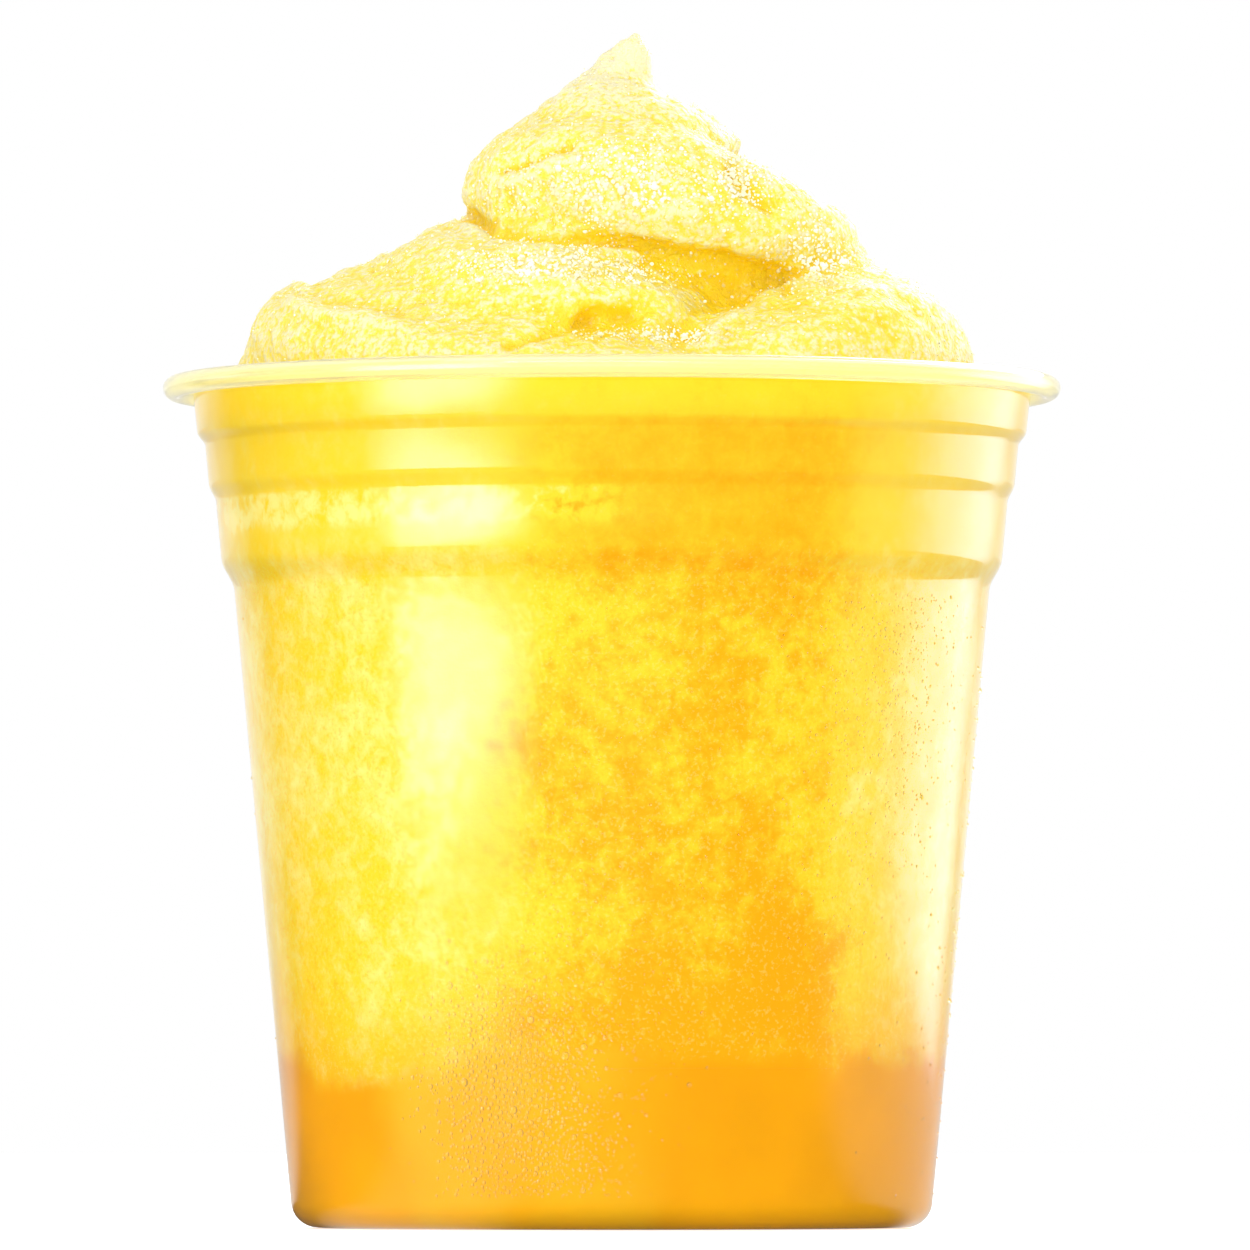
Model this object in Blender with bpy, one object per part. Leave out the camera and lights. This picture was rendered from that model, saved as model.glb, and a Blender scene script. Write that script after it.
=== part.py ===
"""An orange slush drink in a clear ribbed cup, with a swirl of the same slush piped on top.

Lengths are in metres. The origin is the centre of the cup's foot, +Z is up and -Y is the shown side.
Angles run counterclockwise seen from above, so the shown side is at 270 degrees.
"""

import math

import bmesh
import bpy
import numpy as np

MM = 0.001

# The cup
CUP_HEIGHT = 92.6 * MM
RIM_RADIUS = 49.0 * MM
WALL = 0.7 * MM
FOOT_CONE_RADIUS = 34.65 * MM
TAPER = 0.0936
# Each ledge steps the wall outwards between two heights: lowest, highest, step
LEDGES = (
    (69.4 * MM, 72.7 * MM, 1.10 * MM),
    (79.0 * MM, 80.9 * MM, 0.60 * MM),
    (85.1 * MM, 86.6 * MM, 0.75 * MM),
)
CORNER_RADIUS = 2.9 * MM
PUSH_UP = 1.6 * MM
PANEL_RADIUS = 27.0 * MM
CURL_RADIUS = 1.25 * MM
LIP_THICKNESS = 0.55 * MM
ROOT_RADIUS = 0.9 * MM
CURL_END = math.radians(-150)

# The contents
GAP = 0.3 * MM
JUICE_LEVEL = 17.5 * MM
JUICE_DOME = 0.8 * MM
# Waves round a surface: how many in a turn, their height at the wall and the angle of one crest
JUICE_WAVES = ((4, 1.2 * MM, math.radians(250)), (7, 0.7 * MM, math.radians(250)))
SLUSH_WAVES = ((5, 0.25 * MM, math.radians(30)), (9, 0.2 * MM, math.radians(10)))
FILL_LEVEL = 91.3 * MM
FILL_DIP = 0.5 * MM
FILL_PLATEAU = 38.0 * MM
SWIRL_BASE = FILL_LEVEL + GAP
JUICE_TOP_RINGS = (0.25, 0.55, 0.8, 1.0)
SLUSH_TOP_RINGS = (0.4, 0.82, 0.88, 0.92, 0.96, 1.0)

# How finely each shape is divided
ROUND_STEPS = 48
SWIRL_STEPS = 72
SWIRL_ROWS = 33
STROKE_STEPS = 5

# Stations of the piped strokes, bottom to top: angle in degrees, then reach from the axis, height and
# half thickness in millimetres. The first stroke is the low ring, the second climbs to the peak.
RING_STROKE = (
    (288, 30.0, 89.0, 5.0),
    (260, 31.0, 90.0, 6.0),
    (235, 31.5, 91.2, 6.6),
    (210, 31.8, 93.6, 7.3),
    (180, 31.6, 96.0, 8.0),
    (135, 31.0, 95.8, 8.0),
    (90, 30.5, 95.5, 8.5),
    (45, 29.8, 94.8, 9.4),
    (0, 29.0, 94.2, 10.2),
    (-30, 29.0, 93.0, 9.6),
    (-55, 29.5, 90.5, 8.0),
)
CLIMB_STROKE = (
    (40, 22.0, 97.5, 7.5),
    (5, 21.5, 97.0, 7.5),
    (-22, 20.0, 94.5, 6.8),
    (-50, 19.5, 92.5, 6.2),
    (-80, 21.3, 95.0, 7.0),
    (-105, 21.8, 97.3, 7.7),
    (-135, 21.0, 99.4, 8.0),
    (-180, 18.8, 101.0, 8.0),
    (-225, 19.0, 102.5, 8.2),
    (-270, 18.8, 104.0, 8.3),
    (-315, 20.0, 104.8, 7.4),
    (-345, 21.8, 105.6, 5.8),
    (-372, 20.3, 107.2, 6.0),
    (-400, 15.8, 109.2, 7.0),
    (-425, 12.4, 110.8, 7.8),
    (-450, 10.8, 111.4, 8.0),
    (-495, 10.0, 112.4, 7.3),
    (-540, 9.7, 112.8, 6.4),
    (-585, 8.0, 114.0, 6.2),
    (-630, 6.5, 115.3, 6.3),
    (-675, 6.3, 116.0, 6.4),
    (-720, 6.4, 116.6, 6.3),
    (-765, 5.5, 117.2, 6.2),
    (-810, 4.8, 117.8, 6.0),
    (-855, 4.4, 118.3, 5.8),
    (-900, 4.0, 118.6, 5.6),
)
# A thinner stroke fills the step between the ring and the climb, on the left and behind
STEP_STROKE = (
    (225, 27.0, 96.5, 5.0),
    (180, 26.5, 99.4, 5.4),
    (120, 25.5, 100.5, 5.5),
    (60, 25.0, 101.0, 6.0),
    (20, 24.5, 101.0, 6.0),
)
# The drawn-up peak leans towards +X: offset from the axis, height and half thickness in millimetres
PEAK = (
    (-1.3, 117.6, 7.4),
    (-0.2, 121.3, 5.4),
    (0.5, 123.8, 3.9),
    (1.2, 125.6, 3.1),
    (2.1, 127.5, 2.3),
    (2.6, 129.1, 1.5),
    (3.1, 130.2, 0.8),
)
CORE = ((0.0, 92.0, 27.0), (0.5, 97.0, 20.0), (2.5, 105.5, 14.5), (0.5, 117.0, 7.0))
# A little slush pressed out beside the ring, between it and the rim: angle, reach, height, half thickness
SPILL = (180, 38.3, 92.3, 3.0)
# Neighbouring strokes melt together over this depth; at a plain stretch this many lengths count together
MELT = 0.55 * MM
OVERLAP = 2.5
# The swirl is traced along rays from a spine, which rises, leans towards the peak and fans upwards
SPINE_RISE = 36.0 * MM
SPINE_LEAN = 2.6 * MM
LEAN_START = 0.7
FAN = math.radians(62)


def smooth(share):
    """Eases from 0 to 1 as share does."""
    share = min(1.0, max(0.0, share))
    return share * share * (3 - 2 * share)


def wall_radius(z):
    """Outer radius of the cup's wall at height z."""
    steps = sum(step * smooth((z - low) / (high - low)) for low, high, step in LEDGES)
    return FOOT_CONE_RADIUS + TAPER * z + steps


def inner_radius(z):
    return wall_radius(z) - WALL


def content_radius(z):
    return inner_radius(z) - GAP


def ledge_heights():
    """Heights at which the wall bends, bottom to top."""
    return [low + share * (high - low) for low, high, _ in LEDGES for share in (0.0, 0.5, 1.0)]


def arc(centre, radius, start, end, steps):
    """Points (r, z) on an arc, both ends included."""
    return [
        (
            centre[0] + radius * math.cos(start + (end - start) * i / steps),
            centre[1] + radius * math.sin(start + (end - start) * i / steps),
        )
        for i in range(steps + 1)
    ]


def corner_centre():
    return wall_radius(CORNER_RADIUS) - CORNER_RADIUS, CORNER_RADIUS


def floor_profile(lift):
    """The base's shape from the axis outwards, raised by lift above the underside."""
    shift = lift * math.tan(math.radians(22.5))
    foot_inner = PANEL_RADIUS + PUSH_UP
    points = [(0.0, PUSH_UP + lift), (PANEL_RADIUS + shift, PUSH_UP + lift), (foot_inner + shift, lift)]
    return points + arc(corner_centre(), CORNER_RADIUS - lift, -math.pi / 2, 0.0, 3)


def lip_profile():
    """The rolled lip: under the flange, round the curl, back over the top and down into the cup."""
    top = CUP_HEIGHT
    under = top - LIP_THICKNESS
    centre = (RIM_RADIUS - CURL_RADIUS, top - CURL_RADIUS)
    root_z = top - ROOT_RADIUS
    root = (inner_radius(root_z) + ROOT_RADIUS, root_z)
    outside = [(wall_radius(under - WALL), under - WALL), (wall_radius(under) + WALL / 2, under)]
    inside_curl = arc(centre, CURL_RADIUS - LIP_THICKNESS, math.pi / 2, CURL_END, 5)
    outside_curl = arc(centre, CURL_RADIUS, CURL_END, math.pi / 2, 6)
    return outside + inside_curl + outside_curl + arc(root, ROOT_RADIUS, math.pi / 2, math.pi, 2)


def cup_profile():
    """The cup's whole section, from the axis underneath to the axis inside."""
    heights = ledge_heights()
    outside = floor_profile(0.0) + [(wall_radius(z), z) for z in heights]
    inside = [(inner_radius(z), z) for z in reversed(heights)]
    return outside + lip_profile() + inside + floor_profile(WALL)[::-1]


def material(name, colour, roughness, alpha=1.0):
    made = bpy.data.materials.new(name)
    made.use_nodes = True
    shader = made.node_tree.nodes["Principled BSDF"]
    shader.inputs["Base Color"].default_value = (*colour, 1.0)
    shader.inputs["Roughness"].default_value = roughness
    shader.inputs["Metallic"].default_value = 0.0
    shader.inputs["Alpha"].default_value = alpha
    return made


def add_object(mesh, name, finish):
    """Links the mesh as one shown object, shaded smooth."""
    mesh.materials.append(finish)
    mesh.shade_smooth()
    made = bpy.data.objects.new(name, mesh)
    bpy.context.scene.collection.objects.link(made)
    return made


def turned(profile, name, finish):
    """Spins a section, which starts and ends on the axis, into a closed solid."""
    bm = bmesh.new()
    points = [bm.verts.new((r, 0.0, z)) for r, z in profile]
    edges = [bm.edges.new(pair) for pair in zip(points, points[1:])]
    bmesh.ops.spin(
        bm,
        geom=points + edges,
        cent=(0, 0, 0),
        axis=(0, 0, 1),
        angle=math.tau,
        steps=ROUND_STEPS,
        use_merge=True,
    )
    bmesh.ops.remove_doubles(bm, verts=bm.verts, dist=1e-6)
    bmesh.ops.recalc_face_normals(bm, faces=bm.faces)
    mesh = bpy.data.meshes.new(name)
    bm.to_mesh(mesh)
    bm.free()
    return add_object(mesh, name, finish)


def skinned(bottom, rings, top, name, finish):
    """A closed solid through rings of points, with one point closing it below and one above."""
    bm = bmesh.new()
    low = bm.verts.new(bottom)
    loops = [[bm.verts.new(point) for point in ring] for ring in rings]
    high = bm.verts.new(top)
    count = len(loops[0])
    for i in range(count):
        j = (i + 1) % count
        bm.faces.new((low, loops[0][j], loops[0][i]))
        for lower, upper in zip(loops, loops[1:]):
            bm.faces.new((lower[i], lower[j], upper[j], upper[i]))
        bm.faces.new((loops[-1][i], loops[-1][j], high))
    mesh = bpy.data.meshes.new(name)
    bm.to_mesh(mesh)
    bm.free()
    return add_object(mesh, name, finish)


def waves(angle, table):
    return sum(height * math.cos(count * (angle - crest)) for count, height, crest in table)


def juice_surface(x, y):
    """Height of the wavy surface between the settled juice and the slush above it."""
    share = math.hypot(x, y) / content_radius(JUICE_LEVEL)
    dome = JUICE_DOME * math.cos(5 * share)
    return JUICE_LEVEL + dome + share**2 * waves(math.atan2(y, x), JUICE_WAVES)


def slush_surface(x, y):
    """Height of the slush's top: level under the swirl, dipping unevenly to the wall."""
    wall = content_radius(FILL_LEVEL)
    out = smooth((math.hypot(x, y) - FILL_PLATEAU) / (wall - FILL_PLATEAU))
    return FILL_LEVEL - out * (FILL_DIP + waves(math.atan2(y, x), SLUSH_WAVES))


def cap_rings(height_at, shares, lift=0.0):
    """Rings of a bumpy surface, raised by lift, at these shares of the way to the wall."""
    rings = []
    level = content_radius(height_at(0.0, 0.0))
    for share in shares:
        ring = []
        for i in range(ROUND_STEPS):
            angle = math.tau * i / ROUND_STEPS
            ahead = (math.cos(angle), math.sin(angle))
            edge = content_radius(height_at(level * ahead[0], level * ahead[1]) + lift)
            x = share * edge * ahead[0]
            y = share * edge * ahead[1]
            ring.append((x, y, height_at(x, y) + lift))
        rings.append(ring)
    return rings


def level_ring(radius, z):
    turns = [math.tau * i / ROUND_STEPS for i in range(ROUND_STEPS)]
    return [(radius * math.cos(turn), radius * math.sin(turn), z) for turn in turns]


def build_juice():
    floor = floor_profile(WALL + GAP)
    rings = [level_ring(r, z) for r, z in floor[1:]]
    rings += cap_rings(juice_surface, JUICE_TOP_RINGS[::-1])
    finish = material("settled juice", (0.93, 0.40, 0.01), 0.25)
    return skinned((0, 0, floor[0][1]), rings, (0, 0, juice_surface(0, 0)), "juice_layer", finish)


def build_fill():
    rings = cap_rings(juice_surface, JUICE_TOP_RINGS, lift=GAP)
    rings += [level_ring(content_radius(z), z) for z in ledge_heights()]
    rings += cap_rings(slush_surface, SLUSH_TOP_RINGS[::-1])
    finish = material("slush in the cup", (0.98, 0.66, 0.04), 0.4)
    bottom = (0, 0, juice_surface(0, 0) + GAP)
    return skinned(bottom, rings, (0, 0, slush_surface(0, 0)), "slush_fill", finish)


def stroke_points(stations):
    """Points and half thicknesses along a stroke, through its stations on a smooth curve."""
    table = np.array(stations, float)
    table = np.vstack([2 * table[0] - table[1], table, 2 * table[-1] - table[-2]])
    found = []
    for a, b, c, d in zip(table, table[1:], table[2:], table[3:]):
        for t in np.arange(STROKE_STEPS) / STROKE_STEPS:
            found.append(
                b + 0.5 * t * (c - a + t * (2 * a - 5 * b + 4 * c - d + t * (3 * (b - c) + d - a)))
            )
    found = np.array([*found, table[-2]])
    angle = np.radians(found[:, 0])
    across = found[:, 1] * MM
    points = np.column_stack([across * np.cos(angle), across * np.sin(angle), found[:, 2] * MM])
    return points, found[:, 3] * MM


def upright_points(stations):
    """Points and half thicknesses of a stroke that rises in the plane of the shown side."""
    table = np.array(stations, float) * MM
    return np.column_stack([table[:, 0], np.zeros(len(table)), table[:, 1]]), table[:, 2]


def swirl_strokes():
    """Every stroke of the swirl as tapered lengths: start, end, half thickness at each."""
    spill = stroke_points([(SPILL[0] + turn, *SPILL[1:]) for turn in (-5, 5)])
    strokes = [stroke_points(table) for table in (RING_STROKE, CLIMB_STROKE, STEP_STROKE)]
    strokes += [spill, upright_points(PEAK), upright_points(CORE)]
    starts = np.vstack([points[:-1] for points, _ in strokes])
    ends = np.vstack([points[1:] for points, _ in strokes])
    thin = np.concatenate([radii[:-1] for _, radii in strokes])
    thick = np.concatenate([radii[1:] for _, radii in strokes])
    return starts, ends, thin, thick


def depth_outside(points, strokes):
    """Distance of each point outside the melted-together strokes, negative inside."""
    starts, ends, thin, thick = strokes
    total = np.zeros(len(points))
    for start, end, first, last in zip(starts, ends, thin, thick):
        along = end - start
        share = np.clip((points - start) @ along / (along @ along), 0, 1)
        nearest = start + share[:, None] * along
        distance = np.linalg.norm(points - nearest, axis=1) - (first + share * (last - first))
        total += np.exp(np.clip(-distance / MELT, -60, 60))
    return MELT * (math.log(OVERLAP) - np.log(total))


def swirl_reach(origins, directions, strokes):
    """How far along each ray the swirl's outermost surface lies."""
    step = 1.0 * MM
    reach = np.zeros(len(origins))
    for distance in np.arange(step, RIM_RADIUS, step):
        inside = depth_outside(origins + distance * directions, strokes) < 0
        reach[inside] = distance
    low = reach
    high = reach + step
    for _ in range(10):
        middle = (low + high) / 2
        inside = depth_outside(origins + middle[:, None] * directions, strokes) < 0
        low = np.where(inside, middle, low)
        high = np.where(inside, high, middle)
    return (low + high) / 2


def swirl_rays():
    """Origins and directions of the rays, row by row from the base, and last the one to the peak."""
    origins = []
    directions = []
    for row in range(SWIRL_ROWS):
        share = row / SWIRL_ROWS
        height = SWIRL_BASE + SPINE_RISE * share**1.35
        lean = SPINE_LEAN * smooth((share - LEAN_START) / (1 - LEAN_START))
        rise = FAN * share**1.5
        for i in range(SWIRL_STEPS):
            angle = math.tau * i / SWIRL_STEPS
            flat = math.cos(rise)
            origins.append((lean, 0.0, height))
            directions.append((flat * math.cos(angle), flat * math.sin(angle), math.sin(rise)))
    origins.append((SPINE_LEAN, 0.0, SWIRL_BASE + SPINE_RISE))
    directions.append((0.12, 0.0, 0.99))
    return np.array(origins), np.array(directions)


def softened(grid):
    """The reach of each ray evened out with its neighbours, round and up the swirl."""
    around = (np.roll(grid, 1, axis=1) + 2 * grid + np.roll(grid, -1, axis=1)) / 4
    even = around.copy()
    even[1:-1] = (around[:-2] + 2 * around[1:-1] + around[2:]) / 4
    return even


def build_swirl():
    origins, directions = swirl_rays()
    reach = swirl_reach(origins, directions, swirl_strokes())
    reach[:-1] = softened(reach[:-1].reshape(SWIRL_ROWS, SWIRL_STEPS)).ravel()
    surface = origins + reach[:, None] * directions
    rings = surface[:-1].reshape(SWIRL_ROWS, SWIRL_STEPS, 3)
    finish = material("piped slush", (0.98, 0.86, 0.30), 0.45)
    return skinned((0, 0, SWIRL_BASE), rings, surface[-1], "slush_swirl", finish)


def main():
    for old in list(bpy.data.objects):
        bpy.data.objects.remove(old)
    turned(cup_profile(), "cup", material("clear plastic", (0.93, 0.96, 0.95), 0.08, alpha=0.3))
    build_juice()
    build_fill()
    build_swirl()


main()
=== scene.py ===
"""The looks of an orange slush drink: its clear cup, what fills it, the piped swirl and the beads of water.

Lengths are in metres, except in the tables below and in names that end in mm, which are in millimetres.
+Z is up and the shown side faces -Y.
"""

import math

import bpy
import numpy as np
from bpy.props import FloatProperty, FloatVectorProperty, IntProperty, PointerProperty
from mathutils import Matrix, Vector


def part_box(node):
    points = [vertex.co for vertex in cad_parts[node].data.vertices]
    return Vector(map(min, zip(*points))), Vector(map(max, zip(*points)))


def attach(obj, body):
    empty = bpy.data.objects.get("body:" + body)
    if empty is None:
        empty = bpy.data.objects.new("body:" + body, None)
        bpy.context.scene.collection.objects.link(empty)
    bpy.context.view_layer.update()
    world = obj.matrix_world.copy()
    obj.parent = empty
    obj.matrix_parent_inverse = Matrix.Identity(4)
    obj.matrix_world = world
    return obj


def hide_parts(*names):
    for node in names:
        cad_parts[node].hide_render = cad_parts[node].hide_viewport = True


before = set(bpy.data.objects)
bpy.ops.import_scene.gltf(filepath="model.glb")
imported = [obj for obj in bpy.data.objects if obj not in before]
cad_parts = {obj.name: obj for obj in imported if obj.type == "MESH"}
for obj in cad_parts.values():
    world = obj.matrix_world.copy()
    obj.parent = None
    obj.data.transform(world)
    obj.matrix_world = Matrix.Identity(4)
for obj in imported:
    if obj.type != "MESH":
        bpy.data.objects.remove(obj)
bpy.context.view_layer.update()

bl_info = {
    "name": "Orange Slush Drink",
    "version": (1, 0),
    "blender": (4, 5, 0),
    "location": "3D View > Sidebar > Drink",
    "description": "Models an orange slush drink in its clear cup, with a soft studio round it",
    "category": "Mesh",
}

MM = 0.001
CUP_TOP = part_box("cup")[1][2]
SWIRL_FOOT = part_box("slush_swirl")[0][2]
FILL_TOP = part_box("slush_fill")[1][2]

# The cup's wall: each ledge steps it outwards between two heights
LEDGES_MM = ((69.4, 72.7, 1.10), (79.0, 80.9, 0.60), (85.1, 86.6, 0.75))

# How far in from the wall the rings of the slush's open top lie
TOP_STEPS_MM = (0.25, 0.7, 1.2, 1.8, 2.5, 3.3, 4.2, 5.2, 6.5, 8.0, 12.0)

# Heights over which the contents change, from none of it to all of it
JUICY_ENDS_MM = (84.0, 88.0)  # the juicy side gives way to the pale top
LOW_DOWN_MM = (50.0, 20.0)  # juice gathers low down
PRESSED_MM = (69.0, 75.0)  # between the ledges the slush is pressed smooth
FROST_MM = ((74.4, 76.2), (79.3, 78.7))  # a band of frost begins and ends
JUICE_EDGE_MM = (-1.5, 1.7)  # from juice to slush, counted from the juice's ragged edge
DRAWN_UP_MM = (12.0, 0.0)  # juice is drawn up into the slush, counted from there too

# Marks on the swirl's shown side: name, points (X, Z) along it, half width and height, which is negative
# for a fold
SWIRL_MARKS = (
    (
        "main fold",
        (
            (-16.5, 110.6), (-12.7, 107.5), (-10.0, 106.8), (-5.6, 106.1), (-2.4, 106.4),
            (2.5, 106.1), (8.5, 104.8), (11.8, 104.3), (16.1, 103.5), (20.7, 103.1),
        ),
        0.75,
        -1.5,
    ),
    ("ridge under it", ((-15.6, 108.2), (-12.0, 105.9), (-6.0, 104.9), (0.0, 105.0), (3.5, 104.8)), 0.8, 0.6),
    ("right hollow", ((4.2, 104.6), (9.6, 102.9), (14.5, 101.9), (18.4, 101.9)), 1.7, -1.3),
    ("bulge's ridge", ((21.5, 102.2), (17.8, 100.2), (14.0, 98.4), (11.8, 96.8), (10.7, 95.0)), 1.0, 1.0),
    ("beside the bulge", ((14.0, 100.6), (9.6, 99.0), (7.4, 96.8)), 1.6, -0.9),
    ("low hollow", ((-2.4, 97.5), (2.2, 98.0)), 1.3, -1.8),
    ("low fold", ((-2.4, 97.2), (-6.0, 96.2), (-10.9, 94.6)), 0.7, -0.8),
    ("left fold", ((-11.9, 114.4), (-7.8, 115.6), (-4.9, 116.8)), 0.7, -1.1),
    ("ridge below it", ((-11.5, 112.9), (-7.4, 114.0), (-4.0, 115.2)), 0.8, 0.6),
    ("right fold", ((13.0, 114.6), (15.3, 112.4), (17.2, 110.6)), 1.4, -1.3),
    ("low left ridge", ((-34.5, 99.9), (-31.8, 98.5), (-26.9, 97.6), (-22.5, 96.4)), 0.9, 0.7),
    ("groove over it", ((-32.0, 100.9), (-28.0, 99.9), (-23.0, 99.0)), 1.0, -0.7),
    ("right shoulder", ((13.6, 118.4), (16.4, 116.2), (17.0, 115.6)), 1.6, 2.2),
    ("right waist", ((20.5, 113.8), (22.3, 112.0)), 1.5, -1.8),
    ("right step", ((30.5, 103.6), (36.2, 101.0)), 1.8, -0.5),
    ("left step", ((-22.5, 108.0), (-23.5, 107.2)), 1.3, -2.4),
    ("below the step", ((-24.3, 106.8), (-25.6, 106.0)), 1.2, 0.2),
    ("lower left step", ((-31.0, 103.9), (-32.0, 103.3)), 1.3, -2.0),
    ("left cone", ((-8.5, 120.7), (-14.5, 116.0), (-16.6, 113.0)), 1.6, -0.3),
    ("right neck", ((6.2, 123.8), (8.2, 122.4)), 1.2, -0.9),
    ("left neck", ((-6.2, 123.8), (-8.6, 122.0)), 1.2, -0.6),
)
FOLD_MARKS = 12  # how many of them are folds and ridges: the rest only trim the outline
REACH_MM = 8.0  # how far in depth a mark fades out
OUTLINE_MM = 2.0  # the depth at which the swirl's outline lies, as seen from the shown side
# Passes of evening out, and how far under the evened form counts as deep in a fold, from fine to broad
FOLD_SCALES = ((6, 0.45 * MM), (40, 1.5 * MM), (140, 5.0 * MM))
EVENING = 0.6  # how much of the neighbours' mean each pass takes up
PAINT_WIDTH = 1.2  # painted shade in a fold, and painted light on a ridge, reach this much wider than the mark is pressed
PAINT_DEPTH = 0.12  # and are this strong for each millimetre that the mark is pressed
FOOT_SINK = 0.6 * MM  # how far the swirl's foot reaches down into the slush
PALE_PEAK_MM = (118.5, 128.0)  # heights over which the swirl pales towards its peak

# Places on the shown side, mostly hollows and folds, given painted shade that deepens their colour to amber:
# points (X, Z), half width and how deep the colour goes
SHADED_SPOTS = (
    (((-4.5, 97.2), (3.0, 97.6)), 2.4, 1.1),
    (((20.0, 99.5), (31.0, 97.0)), 3.5, 0.5),
    (((3.0, 104.0), (17.0, 101.0)), 2.5, 0.15),
    (((10.5, 112.5), (16.5, 109.5)), 2.4, 0.5),
)
# Bands of loose ice on the shown side, heaped with larger near-white grains that are partly painted glints: X
# and Z of the middle, half width and half height, share of grains
ICE_AND_GLINT_BANDS = (
    (0.5, 112.0, 8.0, 3.5, 0.24),
    (13.5, 113.0, 2.5, 3.5, 0.12),
    (-6.0, 103.2, 8.5, 1.6, 0.20),
    (22.0, 105.0, 4.0, 3.0, 0.11),
    (6.0, 95.6, 6.0, 0.7, 0.07),
)

# Where beads of water sit thickest on the cup: angle in degrees, height, spread round, spread up, share of
# them and size beside the mean
BEAD_PATCHES = (
    (252, 16.5, 5.5, 4.5, 0.20, 1.7),
    (256, 9.0, 8.5, 7.0, 0.24, 1.4),
    (266, 30.0, 9.0, 14.0, 0.06, 0.8),
    (318, 62.0, 10.0, 14.0, 0.10, 1.0),
    (30, 40.0, 30.0, 22.0, 0.14, 1.2),
    (100, 20.0, 22.0, 14.0, 0.15, 1.3),
    (135, 55.0, 16.0, 20.0, 0.15, 1.2),
)
BEADS_LOW_MM, BEADS_HIGH_MM = 3.5, 68.0  # only the straight wall has beads

# Colour of the bright panels, which whitens the yellow drink without glaring
COOL_LIGHT = (0.62, 0.7, 1.0)
FLOOR_GAP = 0.1 * MM  # keeps the floor off the foot


def srgb(red, green, blue):
    """A colour as seen on screen, 0 to 255, as the linear colour that a shader takes."""
    shares = [c / 255 for c in (red, green, blue)]
    return tuple(((c + 0.055) / 1.055) ** 2.4 if c > 0.04 else c / 12.92 for c in shares)


def length(name, default_mm, description):
    return FloatProperty(
        name=name, description=description, default=default_mm * MM, min=0.0, precision=5, unit="LENGTH"
    )


def number(name, default, description):
    return FloatProperty(name=name, description=description, default=default)


def amount(name, default, description, least=0):
    return IntProperty(name=name, description=description, default=default, min=least)


def colour(name, default, description):
    return FloatVectorProperty(
        name=name, description=description, default=default, size=3, min=0.0, max=1.0, subtype="COLOR"
    )


class CupSettings(bpy.types.PropertyGroup):
    """Sizes and finish of the clear cup and the beads of water on it."""

    rim_radius: length("Rim radius", 48.97, "Outer radius of the rolled lip")
    wall: length("Wall", 0.7, "Thickness of the wall")
    cone_radius: length("Cone radius", 34.65, "Outer radius of the straight wall, carried down to the floor")
    taper: number("Taper", 0.0936, "How much the radius grows per height")
    curl_radius: length("Curl radius", 1.25, "Outer radius of the lip's curl")
    lip_thickness: length("Lip thickness", 0.5, "Thickness of the rolled lip")
    corner_radius: length("Corner radius", 2.9, "Outer radius between the foot and the wall")
    push_up: length("Push up", 1.6, "How far the base is raised inside the foot")
    panel_radius: length("Panel radius", 27.0, "Radius of the raised base")
    segments: amount("Segments", 192, "Divisions round the cup", 24)
    haze: number("Haze", 0.13, "Roughness of the wall")
    lip_tint: colour("Lip tint", srgb(255, 250, 205), "Colour of the rolled lip")
    tint: colour("Tint", (0.99, 1.0, 0.995), "Colour of the clear plastic")
    beads: amount("Beads", 9000, "How many beads of water sit on the cup")
    bead_size: length("Bead size", 0.115, "Mean radius of a bead of water")
    water: colour("Water", (1.0, 0.98, 0.88), "Colour of the beads of water")


class DrinkSettings(bpy.types.PropertyGroup):
    """Colours and levels of the slush and the juice."""

    bite: length("Bite", 0.12, "How far the contents reach into the wall, so that no air shows")
    juice_level: length("Juice level", 17.8, "Mean height of the settled juice")
    # Strength of the painted glow, light given off in the drink's own colour
    glow: number("Glow", 0.21, "Light that comes through the slush")
    pale: colour("Pale slush", srgb(253, 240, 142), "Flocks of ice behind the wall")
    yellow: colour("Yellow slush", srgb(252, 220, 48), "The slush between the flocks")
    deep: colour("Deep slush", srgb(251, 182, 8), "Pockets with more juice than ice")
    juice: colour("Juice", srgb(250, 180, 6), "The settled juice")
    # Near-white ice, which on the heaped bands also serves as painted glints
    ice: colour("Ice", srgb(255, 254, 236), "Loose grains of ice")
    cream: colour("Cream", srgb(238, 229, 182), "The swirl's ridges")
    lemon: colour("Lemon", srgb(243, 221, 72), "The swirl's body")
    # Amber is the colour of the painted shade in the swirl's folds
    amber: colour("Amber", srgb(248, 212, 30), "The swirl's folds")


class SwirlSettings(bpy.types.PropertyGroup):
    """Relief of the piped swirl and the grains of ice on it."""

    voxel: length("Voxel", 0.47, "Size of the squares that the swirl is remeshed into")
    lumps: length("Lumps", 1.0, "Height of the broad lumps")
    lump_size: length("Lump size", 6.0, "Width of a broad lump")
    crags: length("Crags", 0.7, "Height of the small crags")
    crag_size: length("Crag size", 1.7, "Width of a small crag")
    grains: amount("Grains", 8000, "How many grains of ice lie on the swirl")
    grain_size: length("Grain size", 0.14, "Mean radius of a grain of ice")


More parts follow.
